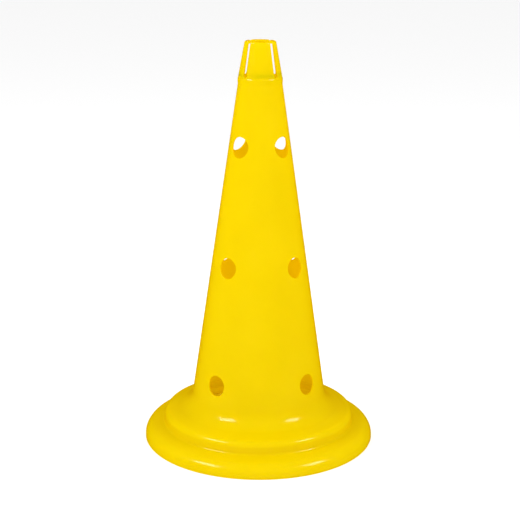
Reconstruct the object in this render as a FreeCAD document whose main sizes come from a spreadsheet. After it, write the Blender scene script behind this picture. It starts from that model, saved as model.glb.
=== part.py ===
import FreeCAD, Part
import Sketcher
import math
import os

# A hollow multi-purpose training cone, 500 mm tall, moulded in one shot of glossy polyethylene.
# The tapered wall stands on a stepped, rounded foot and is bored crosswise by three rows of four
# pole holes.  Four slots cut the tip into springy fingers, whose inturned lips grip an upright
# pole.  A finger bends on the wall at the foot of its slots, so each one is a solid of its own
# that meets the shell face to face on that bending line.
# The origin is at the middle of the foot's underside, +Z runs up the cone's axis, and the pole
# holes are bored along X and along Y.

DIMENSIONS = [
    # alias, value in millimetres or as the name says, what it sets
    ("total_height", 500.0, "underside of the foot to the top of the lips"),
    ("base_radius", 144.6, "outside of the rim"),
    ("wall", 2.2, "thickness of the moulding"),
    ("ring_width", 24.85, "rim to the step, across the lower ring"),
    ("ring_height", 20.7, "top of the lower ring where it meets the step"),
    ("ring_angle", 12.25, "outward fall of the lower ring, degrees"),
    ("step_height", 14.45, "upright face between the two rings"),
    ("step_draft", 0.5, "how far that face leans in over its height"),
    ("shoulder_width", 33.35, "step to the foot of the tapered wall"),
    ("shoulder_angle", 13.83, "outward fall of the upper ring, degrees"),
    ("rim_round", 15.2, "rounding of the rim"),
    ("step_round", 8.3, "rounding of the upper ring's edge"),
    ("groove_round", 4.0, "rounding in the corner below the step"),
    ("wall_round", 24.0, "rounding where the tapered wall meets the foot"),
    ("wall_top_radius", 26.85, "outside of the tapered wall at its top"),
    ("collar_drop", 46.9, "top of the lips down to the crest of the collar"),
    ("collar_fade", 3.9, "height over which the collar fades into the wall"),
    ("collar_round", 20.0, "rounding over the collar's crest"),
    ("fade_round", 6.0, "rounding where the collar meets the wall"),
    ("finger_angle", 10.35, "lean of the fingers towards the axis, degrees"),
    ("finger_top_radius", 18.7, "outside of the fingers at their tops"),
    ("finger_length", 39.2, "top of the lips down to the bending line"),
    ("slot_width", 5.4, "gap between two fingers"),
    ("slot_index_angle", -2.5, "turn of the slots from the pole holes, degrees about +Z"),
    ("lip_thickness", 2.6, "depth of the inturned lip"),
    ("tip_round", 2.2, "outer rounding at the top of a finger"),
    ("lip_edge_round", 0.6, "rounding of the lip's inner edges"),
    ("lip_root_round", 1.4, "rounding under the lip"),
    ("pole_diameter", 25.0, "the pole that the cone takes"),
    ("pole_clearance", 0.1, "gap all round a pole in its holes"),
    ("low_row_height", 85.3, "underside of the foot to the middle of the lowest holes"),
    ("high_row_drop", 123.7, "top of the lips down to the middle of the highest holes"),
    ("row_count", 3, "rows of holes, evenly spaced"),
    ("finger_count", 4, "fingers, and slots between them"),
]

DERIVED = [
    # alias, formula on the sizes above
    ("step_radius", "base_radius - ring_width"),
    ("shoulder_radius", "step_radius - step_draft"),
    ("wall_foot_radius", "shoulder_radius - shoulder_width"),
    ("rim_height", "ring_height - ring_width * tan(ring_angle * 1deg)"),
    ("shoulder_height", "ring_height + step_height"),
    ("wall_foot_height", "shoulder_height + shoulder_width * tan(shoulder_angle * 1deg)"),
    ("collar_height", "total_height - collar_drop"),
    ("wall_top_height", "collar_height - collar_fade"),
    ("root_height", "total_height - finger_length"),
    ("finger_lean", "tan(finger_angle * 1deg)"),
    ("root_radius", "finger_top_radius + finger_length * finger_lean"),
    ("collar_radius", "finger_top_radius + collar_drop * finger_lean"),
    ("root_inner_radius", "root_radius - wall / cos(finger_angle * 1deg)"),
    ("lip_root_radius", "root_inner_radius - (finger_length - lip_thickness) * finger_lean"),
    ("lip_height", "total_height - lip_thickness"),
    ("lip_radius", "pole_diameter / 2"),
    ("hole_radius", "pole_diameter / 2 + pole_clearance"),
    ("row_pitch", "(total_height - high_row_drop - low_row_height) / (row_count - 1)"),
    ("finger_step_angle", "360 / finger_count"),
]

NEAR = 1e-4  # how close two measured lengths are when they are the same one

doc = FreeCAD.newDocument("training_cone")

sheet = doc.addObject("Spreadsheet::Sheet", "Sizes")
for row, (alias, value, meaning) in enumerate(DIMENSIONS, start=1):
    sheet.set(f"A{row}", meaning)
    sheet.set(f"B{row}", str(value))
    sheet.setAlias(f"B{row}", alias)
for row, (alias, formula) in enumerate(DERIVED, start=len(DIMENSIONS) + 1):
    sheet.set(f"A{row}", alias.replace("_", " "))
    sheet.set(f"B{row}", "=" + formula)
    sheet.setAlias(f"B{row}", alias)
doc.recompute()


def size(alias):
    """The value that one alias of the sheet has now."""
    return float(sheet.get(alias))


# ---------------------------------------------------------------- sketches and features


def new_body(label):
    body = doc.addObject("PartDesign::Body", label)
    body.Label = label
    return body


def origin_plane(body, role):
    """The body's own origin plane of one role, such as XZ_Plane."""
    return next(part for part in body.Origin.OriginFeatures if part.Role == role)


def new_sketch(body, name, plane):
    """A sketch on one of the body's own origin planes."""
    sketch = body.newObject("Sketcher::SketchObject", name)
    sketch.AttachmentSupport = [(origin_plane(body, plane), "")]
    sketch.MapMode = "FlatFace"
    return sketch


def hold(sketch, constraint, expression):
    """Add a dimension to a sketch and bind it to the sheet."""
    index = sketch.addConstraint(constraint)
    sketch.setExpression(f"Constraints[{index}]", expression)


def hold_point(sketch, line, end, across, up):
    """Tie one end of a line to two aliases, measured from the sketch's own origin.

    An alias of None puts the point on that axis.
    """
    for alias, kind, axis in ((across, "DistanceX", -2), (up, "DistanceY", -1)):
        if alias is None:
            sketch.addConstraint(Sketcher.Constraint("PointOnObject", line, end, axis))
        else:
            hold(sketch, Sketcher.Constraint(kind, -1, 1, line, end, size(alias)), f"Sizes.{alias}")


def outline(sketch, corners):
    """A closed run of straight lines through corners given as pairs of aliases."""
    points = []
    for across, up in corners:
        points.append(FreeCAD.Vector(size(across) if across else 0, size(up) if up else 0, 0))
    for start, stop in zip(points, points[1:] + points[:1]):
        sketch.addGeometry(Part.LineSegment(start, stop), False)
    for line in range(len(corners)):
        following = (line + 1) % len(corners)
        sketch.addConstraint(Sketcher.Constraint("Coincident", line, 2, following, 1))
    for line, (across, up) in enumerate(corners):
        hold_point(sketch, line, 1, across, up)


def revolve(body, sketch, name, angle_expression):
    """Turn a sketch about the cone's axis, half of the angle to each side of the sketch."""
    revolution = body.newObject("PartDesign::Revolution", name)
    revolution.Profile = sketch
    revolution.ReferenceAxis = (sketch, ["V_Axis"])
    revolution.Midplane = True
    revolution.setExpression("Angle", angle_expression)
    doc.recompute()
    return revolution


def circle_edges(feature, radius, height):
    """Names of a feature's edges that run round the axis at one radius and height."""
    names = []
    for number, edge in enumerate(feature.Shape.Edges, start=1):
        if edge.Curve.TypeId != "Part::GeomCircle":
            continue
        centre = edge.Curve.Center
        off_axis = (centre.x**2 + centre.y**2) ** 0.5
        if max(off_axis, abs(edge.Curve.Radius - radius), abs(centre.z - height)) < NEAR:
            names.append(f"Edge{number}")
    return names


def round_edge(body, feature, name, radius_alias, across, up):
    """Round the edge that runs round the axis through one corner of the outline."""
    fillet = body.newObject("PartDesign::Fillet", name)
    fillet.Base = (feature, circle_edges(feature, size(across), size(up)))
    fillet.setExpression("Radius", f"Sizes.{radius_alias}")
    doc.recompute()
    return fillet


def cut(body, sketch, name, both_ways):
    """Cut a sketch through all of the body, or only the way that the sketch faces."""
    before = body.Shape.Volume
    pocket = body.newObject("PartDesign::Pocket", name)
    pocket.Profile = sketch
    pocket.Type = "ThroughAll"
    pocket.Midplane = both_ways
    pocket.Reversed = not both_ways
    pocket.Refine = False
    doc.recompute()
    if not pocket.Shape.Volume < before - NEAR:
        raise RuntimeError(f"{name} cuts nothing")
    return pocket


def draw_hole(sketch, height_expression):
    """A pole hole on the sketch's upright axis, drawn as a side, top, side and bottom arc.

    The tapered wall leaves the four arcs' walls at four different depths, and each stays a face.
    """
    middle = FreeCAD.Vector(0, float(sketch.evalExpression(height_expression)), 0)
    circle = Part.Circle(middle, FreeCAD.Vector(0, 0, 1), size("hole_radius"))
    right = sketch.GeometryCount
    upper, left, lower = right + 1, right + 2, right + 3
    for quarter in range(4):
        start = math.radians(90 * quarter - 45)
        sketch.addGeometry(Part.ArcOfCircle(circle, start, start + math.radians(90)), False)
    for arc in (upper, left, lower):
        sketch.addConstraint(Sketcher.Constraint("Coincident", right, 3, arc, 3))
        sketch.addConstraint(Sketcher.Constraint("Coincident", arc - 1, 2, arc, 1))
    sketch.addConstraint(Sketcher.Constraint("PointOnObject", right, 3, -2))
    sketch.addConstraint(Sketcher.Constraint("Vertical", right, 1, right, 2))
    sketch.addConstraint(Sketcher.Constraint("Horizontal", upper, 1, upper, 2))
    sketch.addConstraint(Sketcher.Constraint("Vertical", left, 1, left, 2))
    sketch.addConstraint(Sketcher.Constraint("Vertical", lower, 2, upper, 1))
    width = Sketcher.Constraint("DistanceX", upper, 2, upper, 1, circle.Radius * math.sqrt(2))
    hold(sketch, width, "Sizes.hole_radius * sqrt(2)")
    hold(sketch, Sketcher.Constraint("Radius", right, circle.Radius), "Sizes.hole_radius")
    hold(sketch, Sketcher.Constraint("DistanceY", -1, 1, right, 3, middle.y), height_expression)


def turn_about_axis(sketch, axis, expression):
    """Turn an attached sketch about the cone's axis, which is the sketch's own given axis."""
    sketch.AttachmentOffset = FreeCAD.Placement(FreeCAD.Vector(), FreeCAD.Rotation(axis, 1.0))
    sketch.setExpression("AttachmentOffset.Rotation.Angle", expression)


# ---------------------------------------------------------------- cone shell


def cone_shell():
    """The whole moulding below the fingers: foot, tapered wall, pole holes and collar."""
    body = new_body("cone_shell")
    section = new_sketch(body, "shell_outside", "XZ_Plane")
    corners = [
        (None, None),
        ("base_radius", None),
        ("base_radius", "rim_height"),
        ("step_radius", "ring_height"),
        ("shoulder_radius", "shoulder_height"),
        ("wall_foot_radius", "wall_foot_height"),
        ("wall_top_radius", "wall_top_height"),
        ("collar_radius", "collar_height"),
        ("root_radius", "root_height"),
        (None, "root_height"),
    ]
    outline(section, corners)
    feature = revolve(body, section, "shell_form", "360")

    roundings = [
        ("rim", "rim_round", "base_radius", "rim_height"),
        ("step_edge", "step_round", "shoulder_radius", "shoulder_height"),
        ("groove", "groove_round", "step_radius", "ring_height"),
        ("wall_foot", "wall_round", "wall_foot_radius", "wall_foot_height"),
        ("collar_foot", "fade_round", "wall_top_radius", "wall_top_height"),
        ("collar_crest", "collar_round", "collar_radius", "collar_height"),
    ]
    for name, radius_alias, across, up in roundings:
        feature = round_edge(body, feature, f"{name}_rounding", radius_alias, across, up)

    # The moulding is hollow, open at the foot and at the bending line.
    open_faces = []
    for number, face in enumerate(feature.Shape.Faces, start=1):
        if face.Surface.TypeId == "Part::GeomPlane":
            open_faces.append(f"Face{number}")
    hollow = body.newObject("PartDesign::Thickness", "hollow")
    hollow.Base = (feature, open_faces)
    hollow.Reversed = True
    hollow.setExpression("Value", "Sizes.wall")
    doc.recompute()

    # Each row is two straight borings, one along Y and one along X.
    for plane in ("XZ_Plane", "YZ_Plane"):
        holes = new_sketch(body, f"pole_holes_{plane[:2].lower()}", plane)
        for number in range(int(size("row_count"))):
            draw_hole(holes, f"Sizes.low_row_height + {number} * Sizes.row_pitch")
        cut(body, holes, f"pole_hole_borings_{plane[:2].lower()}", both_ways=True)

    # The slots end in the shell as half rounds centred on the bending line.
    slot_foot = new_sketch(body, "slot_foot", "XZ_Plane")
    turn_about_axis(slot_foot, FreeCAD.Vector(0, 1, 0), "Sizes.slot_index_angle")
    slot_circle = Part.Circle(
        FreeCAD.Vector(0, size("root_height"), 0), FreeCAD.Vector(0, 0, 1), size("slot_width") / 2
    )
    slot_foot.addGeometry(slot_circle, False)
    slot_foot.addConstraint(Sketcher.Constraint("PointOnObject", 0, 3, -2))
    hold(slot_foot, Sketcher.Constraint("Diameter", 0, size("slot_width")), "Sizes.slot_width")
    middle = Sketcher.Constraint("DistanceY", -1, 1, 0, 3, size("root_height"))
    hold(slot_foot, middle, "Sizes.root_height")
    slot_end = cut(body, slot_foot, "slot_end", both_ways=False)
    slot_ends = body.newObject("PartDesign::PolarPattern", "slot_ends")
    slot_ends.Originals = [slot_end]
    slot_ends.Refine = False
    slot_ends.Axis = (section, ["V_Axis"])
    slot_ends.Angle = 360
    slot_ends.setExpression("Occurrences", "Sizes.finger_count")
    body.Tip = slot_ends
    doc.recompute()
    return body


# ---------------------------------------------------------------- gripping fingers


def grip_finger(number):
    """One springy quarter of the tip, from the bending line up to its inturned lip."""
    body = new_body(f"grip_finger_{number}")
    section = new_sketch(body, f"finger_section_{number}", "XZ_Plane")
    corners = [
        ("root_radius", "root_height"),
        ("finger_top_radius", "total_height"),
        ("lip_radius", "total_height"),
        ("lip_radius", "lip_height"),
        ("lip_root_radius", "lip_height"),
        ("root_inner_radius", "root_height"),
    ]
    outline(section, corners)
    feature = revolve(body, section, f"finger_form_{number}", "Sizes.finger_step_angle")

    roundings = [
        ("tip", "tip_round", "finger_top_radius", "total_height"),
        ("lip_top", "lip_edge_round", "lip_radius", "total_height"),
        ("lip_foot", "lip_edge_round", "lip_radius", "lip_height"),
        ("lip_root", "lip_root_round", "lip_root_radius", "lip_height"),
    ]
    for name, radius_alias, across, up in roundings:
        feature = round_edge(body, feature, f"{name}_rounding_{number}", radius_alias, across, up)

    # The slot beside the finger takes half of its width from this finger, and the mirror of
    # that cut trims the other side.
    slot = new_sketch(body, f"slot_{number}", "XY_Plane")
    turn_about_axis(slot, FreeCAD.Vector(0, 0, 1), "Sizes.finger_step_angle / 2")
    reach = size("base_radius")
    half_slot = size("slot_width") / 2
    plan = [(0, -half_slot), (reach, -half_slot), (reach, half_slot), (0, half_slot)]
    points = [FreeCAD.Vector(across, up, 0) for across, up in plan]
    for start, stop in zip(points, points[1:] + points[:1]):
        slot.addGeometry(Part.LineSegment(start, stop), False)
    for line in range(4):
        slot.addConstraint(Sketcher.Constraint("Coincident", line, 2, (line + 1) % 4, 1))
    for line in (0, 2):
        slot.addConstraint(Sketcher.Constraint("Horizontal", line))
    slot.addConstraint(Sketcher.Constraint("Symmetric", 0, 1, 2, 2, -1, 1))
    slot.addConstraint(Sketcher.Constraint("Vertical", 1))
    hold(slot, Sketcher.Constraint("DistanceX", 0, 1, 0, 2, reach), "Sizes.base_radius")
    hold(slot, Sketcher.Constraint("DistanceY", 1, 1, 1, 2, 2 * half_slot), "Sizes.slot_width")
    one_side = cut(body, slot, f"slot_side_{number}", both_ways=False)
    both_sides = body.newObject("PartDesign::Mirrored", f"slot_sides_{number}")
    both_sides.Originals = [one_side]
    both_sides.MirrorPlane = (origin_plane(body, "XZ_Plane"), [""])
    body.Tip = both_sides
    doc.recompute()

    body.Placement.Rotation = FreeCAD.Rotation(FreeCAD.Vector(0, 0, 1), 1.0)
    turn = f"Sizes.slot_index_angle + ({number} - 0.5) * Sizes.finger_step_angle"
    body.setExpression("Placement.Rotation.Angle", turn)
    doc.recompute()
    return body


bodies = [cone_shell()]
for finger_number in range(1, int(size("finger_count")) + 1):
    bodies.append(grip_finger(finger_number))

# ---------------------------------------------------------------- checks and files

doc.recompute()
for item in doc.Objects:
    if "Invalid" in item.State or "Error" in item.State:
        raise RuntimeError(f"{item.Label} is {item.State}")
for body in bodies:
    if body.Shape.isNull() or not body.Shape.isValid():
        raise RuntimeError(f"{body.Label} has no valid shape")
    if len(body.Shape.Solids) != 1:
        raise RuntimeError(f"{body.Label} has {len(body.Shape.Solids)} solids")

os.makedirs("parts", exist_ok=True)
for body in bodies:
    body.Shape.exportStep(f"parts/{body.Label}.step")
    print(body.Label, round(body.Shape.Volume), "cubic millimetres")
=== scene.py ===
import math

import bmesh
import bpy
from mathutils import Matrix, Vector


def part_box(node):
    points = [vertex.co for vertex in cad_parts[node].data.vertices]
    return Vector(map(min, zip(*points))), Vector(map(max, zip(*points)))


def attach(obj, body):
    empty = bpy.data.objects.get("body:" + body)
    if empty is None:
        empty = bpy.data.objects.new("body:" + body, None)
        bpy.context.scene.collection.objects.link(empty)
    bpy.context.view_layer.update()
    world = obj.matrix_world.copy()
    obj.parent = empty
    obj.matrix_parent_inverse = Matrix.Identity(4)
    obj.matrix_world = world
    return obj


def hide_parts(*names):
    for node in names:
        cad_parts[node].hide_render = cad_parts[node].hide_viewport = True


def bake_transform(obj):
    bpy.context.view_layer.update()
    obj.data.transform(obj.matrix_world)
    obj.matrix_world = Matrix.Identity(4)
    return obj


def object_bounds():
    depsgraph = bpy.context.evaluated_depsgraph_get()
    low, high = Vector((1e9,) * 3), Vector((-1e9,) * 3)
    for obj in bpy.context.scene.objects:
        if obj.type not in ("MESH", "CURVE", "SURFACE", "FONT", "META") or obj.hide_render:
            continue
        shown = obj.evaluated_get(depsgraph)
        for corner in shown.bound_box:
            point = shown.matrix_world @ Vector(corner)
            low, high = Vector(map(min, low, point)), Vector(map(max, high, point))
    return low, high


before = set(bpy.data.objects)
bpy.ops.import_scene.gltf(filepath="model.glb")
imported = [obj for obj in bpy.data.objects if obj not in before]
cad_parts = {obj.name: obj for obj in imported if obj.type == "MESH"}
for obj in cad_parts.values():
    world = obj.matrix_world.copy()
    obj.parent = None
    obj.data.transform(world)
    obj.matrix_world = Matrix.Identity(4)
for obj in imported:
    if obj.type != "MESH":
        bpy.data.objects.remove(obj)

cad_low, cad_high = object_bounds()

# ------------------------------------------------------------------ camera
# A long lens about a metre and a half away and a little above the cone's tip, looking down at
# its middle.  Two columns of pole holes face it: those on the -Y side and those on the +X side.
UP = Vector((0, 0, 1))
azimuth = math.radians(41.3)
away = Vector((math.sin(azimuth), -math.cos(azimuth), 0))
across = Vector((math.cos(azimuth), math.sin(azimuth), 0))
pitch = 0.27463            # radians below level
roll = 0.00516             # radians about the line of sight

looking = -math.cos(pitch) * away - math.sin(pitch) * UP
upright = across.cross(looking)
level = math.cos(roll) * across + math.sin(roll) * upright
top = math.cos(roll) * upright - math.sin(roll) * across

camera_data = bpy.data.cameras.new("camera")
camera_data.sensor_width = 36
camera_data.lens = 89.56
camera = bpy.data.objects.new("camera", camera_data)
camera.matrix_world = Matrix((level, top, -looking)).transposed().to_4x4()
camera.location = 1.54666 * away + 0.0009 * across + 0.66556 * UP
bpy.context.scene.collection.objects.link(camera)
bpy.context.scene.camera = camera

# ------------------------------------------------------------------ studio
# A white sweep under even light, with a softbox on either side of the camera that leaves the
# small highlights on the foot's rings.  The sweep and the even light are kept out of the gloss,
# so that nothing else shows in it.
LIGHT_DISTANCE = 1.8
LIGHT_AIM = 0.2 * UP

bpy.context.scene.view_settings.view_transform = "Standard"
studio = bpy.data.worlds.new("studio")
studio.use_nodes = True
bpy.context.scene.world = studio
studio.cycles_visibility.glossy = False
backdrop = studio.node_tree.nodes["Background"]
backdrop.inputs["Color"].default_value = (1, 1, 1, 1)
backdrop.inputs["Strength"].default_value = 1.04


def linked(name, data):
    """A new object of the scene, unturned and at the origin."""
    thing = bpy.data.objects.new(name, data)
    bpy.context.scene.collection.objects.link(thing)
    return thing


floor_bm = bmesh.new()
bmesh.ops.create_grid(floor_bm, x_segments=1, y_segments=1, size=20)
floor_mesh = bpy.data.meshes.new("floor")
floor_bm.to_mesh(floor_mesh)
floor_bm.free()
floor = linked("floor", floor_mesh)
floor_paint = bpy.data.materials.new("white_sweep")
floor_paint.use_nodes = True
floor_surface = floor_paint.node_tree.nodes["Principled BSDF"]
floor_surface.inputs["Base Color"].default_value = (0.97, 0.97, 0.97, 1)
floor_surface.inputs["Roughness"].default_value = 0.9
floor_mesh.materials.append(floor_paint)
floor.visible_glossy = False


def softbox(name, turn, elevation, width, height, power):
    """A light aimed at the cone, turned from the camera's side of it and raised."""
    side = Matrix.Rotation(math.radians(turn), 3, "Z") @ away
    rise = math.radians(elevation)
    back = math.cos(rise) * side + math.sin(rise) * UP
    data = bpy.data.lights.new(name, "AREA")
    data.shape = "RECTANGLE"
    data.size = width
    data.size_y = height
    data.energy = power
    light = linked(name, data)
    light.location = LIGHT_AIM + LIGHT_DISTANCE * back
    light.rotation_mode = "QUATERNION"
    light.rotation_quaternion = (-back).to_track_quat("-Z", "Y")
    light.visible_camera = False


softbox("softbox_left", -58, 35, 0.75, 0.42, 18)
softbox("softbox_right", 64, 35, 0.6, 0.42, 14)

# ------------------------------------------------------------------ foot
# The whole cone is one shot of polyethylene, with a skin of even thickness.  Its foot is two
# rounded rings, one on the other, that make the hollow base wide and stiff.  The outside is
# drawn as corners with their roundings, and the inside is the same line moved in.
MM = 0.001
WALL = 2.2 * MM
WALL_FOOT_CORNER = (85.87 * MM, 43.36 * MM)     # radius and height where the straight wall starts
WALL_HEAD_CORNER = (26.85 * MM, 449.2 * MM)     # and where it ends
FOOT_TOP = 60 * MM         # where the foot hands over to the wall with its holes
EDGE_ROUND = 0.5 * MM
AROUND = 144               # columns round the cone


class Corner:
    """A point of an outline, with the radius of the arc that rounds it."""

    def __init__(self, radius, height, rounding=0.0):
        self.at = Vector((radius, height))
        self.rounding = rounding


def crossed(first, second):
    return first.x * second.y - first.y * second.x


def wall_radius(height):
    """Outside of the straight tapered wall."""
    foot, start = WALL_FOOT_CORNER
    head, end = WALL_HEAD_CORNER
    return foot + (head - foot) * (height - start) / (end - start)


def moved_in(outside):
    """The inside of the skin, for an outside line that is walked upwards."""
    lines = []
    for first, last in zip(outside, outside[1:]):
        along = (last.at - first.at).normalized()
        lines.append((first.at + WALL * Vector((-along.y, along.x)), along))
    inside = [Corner(*lines[0][0])]
    for (start, along), (other, onward), corner in zip(lines, lines[1:], outside[1:]):
        turn = crossed(along, onward)
        meeting = start + along * crossed(other - start, onward) / turn
        inside.append(Corner(*meeting, corner.rounding - math.copysign(WALL, turn)))
    length = (outside[-1].at - outside[-2].at).length
    inside.append(Corner(*(lines[-1][0] + length * lines[-1][1])))
    return inside


def traced(corners, chord=5.0):
    """The points of an outline, with a chord for every few degrees of each rounding."""
    points = [corners[0].at]
    for before, corner, after in zip(corners, corners[1:], corners[2:]):
        come = (corner.at - before.at).normalized()
        leave = (after.at - corner.at).normalized()
        turn = math.atan2(crossed(come, leave), come.dot(leave))
        side = math.copysign(1, turn)
        start = corner.at - corner.rounding * math.tan(abs(turn) / 2) * come
        centre = start + side * corner.rounding * Vector((-come.y, come.x))
        chords = max(2, round(abs(math.degrees(turn)) / chord))
        for step in range(chords + 1):
            spoke = Matrix.Rotation(turn * step / chords, 2) @ (start - centre)
            points.append(centre + spoke)
    points.append(corners[-1].at)
    return points


def spun(bm, points):
    """A line of points turned once round the axis, as a skin of quads."""
    verts = [bm.verts.new((point.x, 0, point.y)) for point in points]
    edges = [bm.edges.new(pair) for pair in zip(verts, verts[1:])]
    bmesh.ops.spin(
        bm,
        geom=verts + edges,
        axis=UP,
        cent=(0, 0, 0),
        angle=math.tau,
        steps=AROUND,
        use_merge=True,
    )


foot_outside = [
    Corner(144.6 * MM, 0.0),
    Corner(144.6 * MM, 15.3 * MM, 15.2 * MM),
    Corner(119.75 * MM, 20.7 * MM, 4.0 * MM),
    Corner(119.25 * MM, 35.15 * MM, 8.3 * MM),
    Corner(*WALL_FOOT_CORNER, 24.0 * MM),
    Corner(wall_radius(FOOT_TOP), FOOT_TOP),
]
foot_inside = moved_in(foot_outside)
foot_outside[0].rounding = EDGE_ROUND
foot_inside[0].rounding = EDGE_ROUND
whole = bmesh.new()
spun(whole, traced(foot_inside[::-1] + foot_outside))

# ------------------------------------------------------------------ tapered wall
# The wall takes twelve round holes for poles, in three rows of four, each bored level and
# straight through.  A quarter of it is built as three patches of rings round their holes, on
# the outer skin and on the inner one, and the holes' edges are slightly rounded.
HOLE = 12.6 * MM
HOLE_EDGE = 0.4 * MM
HOLE_HEIGHTS = [85.3 * MM, 230.8 * MM, 376.3 * MM]
PATCH_FOOT = 62 * MM
WALL_TOP = 447 * MM        # where the wall hands over to the collar
PATCH_EDGES = [PATCH_FOOT, 158.05 * MM, 303.55 * MM, WALL_TOP]
RINGS = 12                 # rings of quads between a hole and the sides of its patch
FIRST_RING = 1.0 * MM
RING_GROWTH = 1.4
MERGE = 0.01 * MM


def patch(bm, middle, low, high, skin):
    """One hole and the wall round it, a quarter of the way round; gives back the hole's edge.

    A flat ring of quads is spun first.  Its inner ring is then laid on the hole, its outer ring
    on the patch's four sides, and the rings between are spread out.
    """
    laid = set(bm.verts)
    spun(bm, [Vector((1 + ring, 0)) for ring in range(RINGS + 1)])
    hole_verts = set()
    for vert in bm.verts:
        if vert in laid:
            continue
        turn = math.degrees(math.atan2(vert.co.y, vert.co.x))
        ring = round(vert.co.length) - 1
        side, share = divmod((turn + 45) % 360, 90)
        share = 2 * share / 90 - 1
        swing, rise = [(1, share), (-share, 1), (-1, -share), (share, -1)][round(side)]
        edge_turn = math.radians(45) * swing
        edge_height = (low + high) / 2 + rise * (high - low) / 2
        out = Vector((math.cos(math.radians(turn)), math.sin(math.radians(turn)))) * HOLE
        height = middle + out.y
        hole_turn = math.asin(out.x / skin(height))
        if ring == 0:
            hole_verts.add(vert)
            spread = 0.0
        else:
            sideways = (edge_turn - hole_turn) * skin(middle)
            room = math.hypot(sideways, edge_height - height)
            first = FIRST_RING / room
            spread = first + (1 - first) * ((ring - 1) / (RINGS - 1)) ** RING_GROWTH
        height += spread * (edge_height - height)
        angle = hole_turn + spread * (edge_turn - hole_turn)
        reach = skin(height)
        vert.co = (reach * math.cos(angle), reach * math.sin(angle), height)
    return [edge for edge in bm.edges if set(edge.verts) <= hole_verts]


def inner_wall_radius(height):
    lean = math.atan2(wall_radius(0) - wall_radius(1 * MM), 1 * MM)
    return wall_radius(height) - WALL / math.cos(lean)


def rim_edges(bm, low, high, inner):
    """The open rings of edges at two heights, on the outer or the inner skin."""
    found = []
    for edge in bm.edges:
        middle = (edge.verts[0].co + edge.verts[1].co) / 2
        if edge.is_boundary and low - WALL / 2 < middle.z < high + WALL / 2:
            reach = math.hypot(middle.x, middle.y)
            if (reach < wall_radius(middle.z) - WALL / 2) == inner:
                found.append(edge)
    return found


quarter = bmesh.new()
hole_edges = []
for middle, low, high in zip(HOLE_HEIGHTS, PATCH_EDGES, PATCH_EDGES[1:]):
    both = patch(quarter, middle, low, high, wall_radius)
    both += patch(quarter, middle, low, high, inner_wall_radius)
    bmesh.ops.bridge_loops(quarter, edges=both)
    hole_edges += both
bmesh.ops.recalc_face_normals(quarter, faces=quarter.faces[:])
bmesh.ops.bevel(
    quarter,
    geom=hole_edges,
    offset=HOLE_EDGE,
    segments=3,
    profile=0.5,
    affect="EDGES",
    material=-1,
)
for turn in range(4):
    quarter_mesh = bpy.data.meshes.new("quarter")
    quarter.to_mesh(quarter_mesh)
    quarter_mesh.transform(Matrix.Rotation(math.radians(90) * turn, 4, "Z"))
    whole.from_mesh(quarter_mesh)
    bpy.data.meshes.remove(quarter_mesh)
quarter.free()
bmesh.ops.remove_doubles(whole, verts=whole.verts[:], dist=MERGE)
for inner in (False, True):
    bmesh.ops.bridge_loops(whole, edges=rim_edges(whole, FOOT_TOP, PATCH_FOOT, inner))

# ------------------------------------------------------------------ collar and fingers
# Above the highest holes the skin swells into a low collar, and four slots with round feet cut
# the rest of the tip into fingers.  Each finger ends in a lip turned in towards the pole that
# it grips, and the edges of the slots are slightly rounded.
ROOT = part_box("grip_finger_1")[0].z
TIP = cad_high.z
FINGER_LEAN = math.tan(math.radians(10.35))
POLE = 12.5 * MM
LIP_FOOT = TIP - 2.6 * MM
SLOT = 2.7 * MM            # half of a slot's width, and the radius of its foot
SLOT_EDGE = 0.35 * MM
SLOT_TURN = math.radians(-2.5)
SHARP = math.radians(50)   # edges that turn by more than this are rounded
COLLAR_START = 440 * MM    # a height on the straight wall, from which the collar's line is drawn
COLLAR_FOOT = 448 * MM
COLLAR_TOP = 457.2 * MM
COLLAR_ROWS = 40
QUARTER = AROUND // 4
NOTCH = 5                  # columns on each side of a slot that run into its round foot
FINGER_COLUMNS = QUARTER - 2 * NOTCH


def finger_radius(height):
    """Outside of the fingers, and of the collar just below them."""
    return 18.7 * MM + (TIP - height) * FINGER_LEAN


collar_outside = [
    Corner(wall_radius(COLLAR_START), COLLAR_START),
    Corner(*WALL_HEAD_CORNER, 6.0 * MM),
    Corner(27.12 * MM, 452.6 * MM, 8.0 * MM),
    Corner(27.0 * MM, 455.9 * MM, 1.2 * MM),
    Corner(finger_radius(COLLAR_TOP), COLLAR_TOP, 2.5 * MM),
    Corner(finger_radius(TIP), TIP),
]


def radius_on(corners):
    """A function that gives an outline's radius at a height."""
    points = traced(corners, chord=1.0)

    def radius(height):
        for first, last in zip(points, points[1:]):
            if first.y <= height <= last.y:
                return first.x + (last.x - first.x) * (height - first.y) / (last.y - first.y)
        return points[-1].x

    return radius


def collar(bm, skin):
    """The band under the fingers, whose top edge dips round the foot of each slot."""
    laid = set(bm.verts)
    spun(bm, [Vector((1 + row, 0)) for row in range(COLLAR_ROWS + 1)])
    for vert in bm.verts:
        if vert in laid:
            continue
        turn = math.degrees(math.atan2(vert.co.y, vert.co.x)) % 360
        share = (round(vert.co.length) - 1) / COLLAR_ROWS
        finger, column = divmod(round(turn * AROUND / 360), QUARTER)
        near = min(column, QUARTER - column)
        dip = math.pi / 2 * min(near / NOTCH, 1)
        top_height = ROOT - SLOT * math.cos(dip)
        top_angle = math.asin(SLOT * math.sin(dip) / skin(top_height))
        if near > NOTCH:
            top_angle += (math.pi / 2 - 2 * top_angle) * (near - NOTCH) / FINGER_COLUMNS
        even_angle = math.pi / 2 * near / QUARTER
        angle = even_angle + share * (top_angle - even_angle)
        if column > near:
            angle = math.pi / 2 - angle
        angle += SLOT_TURN + finger * math.pi / 2
        height = COLLAR_FOOT + share * (top_height - COLLAR_FOOT)
        reach = skin(height)
        vert.co = (reach * math.cos(angle), reach * math.sin(angle), height)


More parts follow.
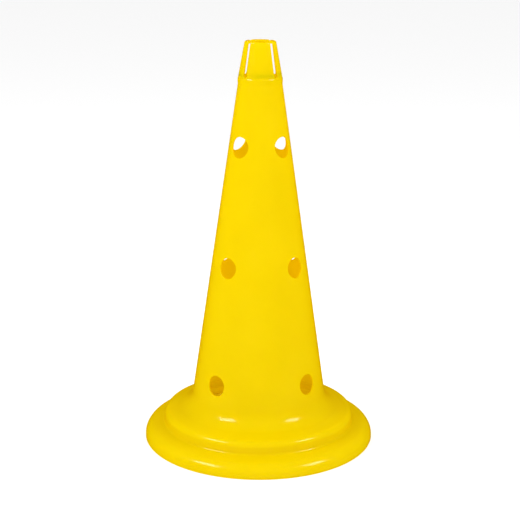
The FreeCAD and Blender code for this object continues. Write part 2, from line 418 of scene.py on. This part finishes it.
def stepped(points, longest):
    """The same line with its long runs divided."""
    line = [points[0]]
    for first, last in zip(points, points[1:]):
        steps = math.ceil((last - first).length / longest)
        for step in range(1, steps + 1):
            line.append(first.lerp(last, step / steps))
    return line


tip = bmesh.new()
collar(tip, radius_on(collar_outside))
collar(tip, radius_on(moved_in(collar_outside)))

root_inside = finger_radius(ROOT) - WALL * math.sqrt(1 + FINGER_LEAN**2)
finger_corners = [
    Corner(finger_radius(ROOT), ROOT),
    Corner(finger_radius(TIP), TIP, 2.2 * MM),
    Corner(POLE, TIP, 0.6 * MM),
    Corner(POLE, LIP_FOOT, 0.6 * MM),
    Corner(root_inside - (LIP_FOOT - ROOT) * FINGER_LEAN, LIP_FOOT, 1.4 * MM),
    Corner(root_inside, ROOT),
]
finger_line = stepped(traced(finger_corners, chord=12.0), longest=1.5 * MM)
finger_rows = len(finger_line) - 1
for finger in range(4):
    grid = bmesh.ops.create_grid(
        tip, x_segments=FINGER_COLUMNS, y_segments=finger_rows, size=1
    )
    for vert in grid["verts"]:
        point = finger_line[round((vert.co.y + 1) / 2 * finger_rows)]
        first = math.asin(SLOT / point.x)
        angle = first + (math.pi / 2 - 2 * first) * (vert.co.x + 1) / 2
        angle += SLOT_TURN + finger * math.pi / 2
        vert.co = (point.x * math.cos(angle), point.x * math.sin(angle), point.y)
bmesh.ops.remove_doubles(tip, verts=tip.verts[:], dist=MERGE)

# Each slot still shows the gap between the two skins: its round foot is bridged, and the two
# sides of the fingers next to it are filled.
for slot in range(4):
    angle = SLOT_TURN + slot * math.pi / 2
    out = Vector((math.cos(angle), math.sin(angle), 0))
    over = Vector((-math.sin(angle), math.cos(angle), 0))
    round_foot = []
    sides = {-1: [], 1: []}
    for edge in tip.edges:
        middle = (edge.verts[0].co + edge.verts[1].co) / 2
        shift = middle.dot(over)
        if not edge.is_boundary or middle.z < COLLAR_TOP:
            continue
        if middle.dot(out) < 0 or abs(shift) > SLOT + MERGE:
            continue
        if middle.z < ROOT:
            round_foot.append(edge)
        else:
            sides[math.copysign(1, shift)].append(edge)
    foot_ends = set()
    for edge in round_foot:
        for vert in edge.verts:
            if vert.co.z > ROOT - MERGE:
                foot_ends.add(vert)
    bmesh.ops.bridge_loops(tip, edges=round_foot)
    for side, rim in sides.items():
        pair = [vert for vert in foot_ends if vert.co.dot(over) * side > 0]
        closing = tip.edges.get(pair)
        bmesh.ops.contextual_create(tip, geom=rim + [closing])
bmesh.ops.recalc_face_normals(tip, faces=tip.faces[:])
slot_edges = []
for edge in tip.edges:
    if edge.is_manifold and edge.calc_face_angle() > SHARP:
        slot_edges.append(edge)
bmesh.ops.bevel(
    tip,
    geom=slot_edges,
    offset=SLOT_EDGE,
    segments=2,
    profile=0.5,
    affect="EDGES",
    material=-1,
)
tip_mesh = bpy.data.meshes.new("tip")
tip.to_mesh(tip_mesh)
tip.free()
whole.from_mesh(tip_mesh)
bpy.data.meshes.remove(tip_mesh)
for inner in (False, True):
    bmesh.ops.bridge_loops(whole, edges=rim_edges(whole, WALL_TOP, COLLAR_FOOT, inner))
bmesh.ops.recalc_face_normals(whole, faces=whole.faces[:])

# ------------------------------------------------------------------ plastic
# The polyethylene is coloured right through in a warm yellow.  It is a little mottled, lets
# some light through, and carries the soft gloss, faint ripple and fine grain of its mould.
THROUGH = 0.6              # share of the light that goes through the skin


class Socket:
    """A socket in an expression: arithmetic on it adds Math nodes to its finish."""

    def __init__(self, finish, output):
        self.finish = finish
        self.output = output

    def operate(self, operation, *values):
        return self.finish.node(
            "ShaderNodeMath", {"operation": operation}, dict(enumerate(values))
        )

    def __add__(self, other):
        return self.operate("ADD", self, other)

    def __sub__(self, other):
        return self.operate("SUBTRACT", self, other)

    def __rsub__(self, other):
        return self.operate("SUBTRACT", other, self)

    def __mul__(self, other):
        return self.operate("MULTIPLY", self, other)

    __radd__ = __add__
    __rmul__ = __mul__


class Finish:
    """A material whose nodes are added by type, with their settings and then their sockets."""

    def __init__(self, name):
        self.material = bpy.data.materials.new(name)
        self.material.use_nodes = True
        self.tree = self.material.node_tree
        self.tree.nodes.clear()

    def node(self, kind, settings, values, output=0):
        made = self.tree.nodes.new(kind)
        for key, value in settings.items():
            setattr(made, key, value)
        for key, value in values.items():
            if isinstance(value, Socket):
                self.tree.links.new(value.output, made.inputs[key])
            else:
                made.inputs[key].default_value = value
        return Socket(self, made.outputs[output]) if made.outputs else None

    def noise(self, place, size, detail=2.0):
        """Noise between 0 and 1, whose features have about the size given."""
        values = {"Vector": place, "Scale": 1 / size, "Detail": detail, "Roughness": 0.5}
        return self.node("ShaderNodeTexNoise", {}, values)

    def ramp(self, value, low, high):
        """The value's range from low to high, smoothly carried over to 0 to 1."""
        values = {"Value": value, 1: low, 2: high}
        return self.node("ShaderNodeMapRange", {"interpolation_type": "SMOOTHSTEP"}, values)

    def mix(self, share, first, second):
        """Two colours mixed; the node's colour sockets are the ones numbered 6, 7 and 2."""
        return self.node(
            "ShaderNodeMix", {"data_type": "RGBA"}, {0: share, 6: first, 7: second}, output=2
        )


plastic = Finish("yellow_polyethylene")
place = plastic.node("ShaderNodeTexCoord", {}, {}, output="Object")
mottle = plastic.ramp(plastic.noise(place, 45 * MM, detail=4.0), 0.35, 0.65)
speck = plastic.ramp(plastic.noise(place, 0.9 * MM), 0.68, 0.76)
ripple = plastic.noise(place, 3.2 * MM)
grain = plastic.noise(place, 0.35 * MM)
upright_stretch = (1.0, 1.0, 0.12)
stretched = plastic.node(
    "ShaderNodeVectorMath", {"operation": "MULTIPLY"}, {0: place, 1: upright_stretch}
)
scuffs = plastic.ramp(plastic.noise(stretched, 2.5 * MM, detail=5.0), 0.60, 0.72)

yellow = plastic.mix(mottle, (0.73, 0.75, 0.0, 1), (0.755, 0.78, 0.0, 1))
yellow = plastic.mix(0.25 * speck, yellow, (0.82, 0.85, 0.01, 1))
yellow = plastic.mix(0.06 * scuffs, yellow, (0.86, 0.89, 0.03, 1))
roughness = 0.10 + 0.03 * ripple + 0.02 * mottle + 0.10 * scuffs
relief = plastic.node(
    "ShaderNodeBump",
    {},
    {"Strength": 1.0, "Distance": 0.015 * MM, "Height": ripple + 0.06 * grain - 0.3 * scuffs},
)
surface = plastic.node(
    "ShaderNodeBsdfPrincipled",
    {},
    {
        "Base Color": yellow,
        "Roughness": roughness,
        "IOR": 1.5,
        "Specular Tint": (1.0, 0.97, 0.85, 1),
        "Normal": relief,
    },
)
glow = plastic.node("ShaderNodeBsdfTranslucent", {}, {"Color": (0.97, 0.71, 0.0, 1)})
skin = plastic.node("ShaderNodeMixShader", {}, {0: THROUGH, 1: surface, 2: glow})
plastic.node("ShaderNodeOutputMaterial", {}, {"Surface": skin})

# ------------------------------------------------------------------ shell and fingers
# The moulding is cut into its bodies at the root of the fingers.  The cut faces lie inside the
# plastic, so nothing shows there.
HALF_QUARTER = math.cos(math.radians(45))


def part_of(name, keep):
    """The part of the moulding whose faces are kept, closed at its cuts, as an object."""
    bm = whole.copy()
    gone = [face for face in bm.faces if not keep(face.calc_center_median())]
    bmesh.ops.delete(bm, geom=gone, context="FACES")
    cut = [edge for edge in bm.edges if edge.is_boundary]
    bmesh.ops.holes_fill(bm, edges=cut, sides=0)
    bmesh.ops.recalc_face_normals(bm, faces=bm.faces[:])
    for face in bm.faces:
        face.smooth = True
        face.material_index = 0
    for edge in cut:
        edge.smooth = False
    mesh = bpy.data.meshes.new(name)
    bm.to_mesh(mesh)
    bm.free()
    mesh.materials.append(plastic.material)
    piece = linked(name, mesh)
    return piece


def toward(middle, out):
    """Whether a point is in the quarter of the cone around a direction."""
    return middle.dot(out) > math.hypot(middle.x, middle.y) * HALF_QUARTER


bmesh.ops.bisect_plane(
    whole,
    geom=whole.verts[:] + whole.edges[:] + whole.faces[:],
    dist=0.02 * MM,
    plane_co=(0, 0, ROOT),
    plane_no=UP,
)
shell = part_of("moulded_shell", lambda middle: middle.z < ROOT)
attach(shell, "shell")
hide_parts("cone_shell")
for number in range(1, 5):
    angle = SLOT_TURN + (number - 0.5) * math.pi / 2
    out = Vector((math.cos(angle), math.sin(angle), 0))
    finger = part_of(
        f"grip_finger_{number}", lambda middle: middle.z > ROOT and toward(middle, out)
    )
    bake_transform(finger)
    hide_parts(f"grip_finger_{number}")
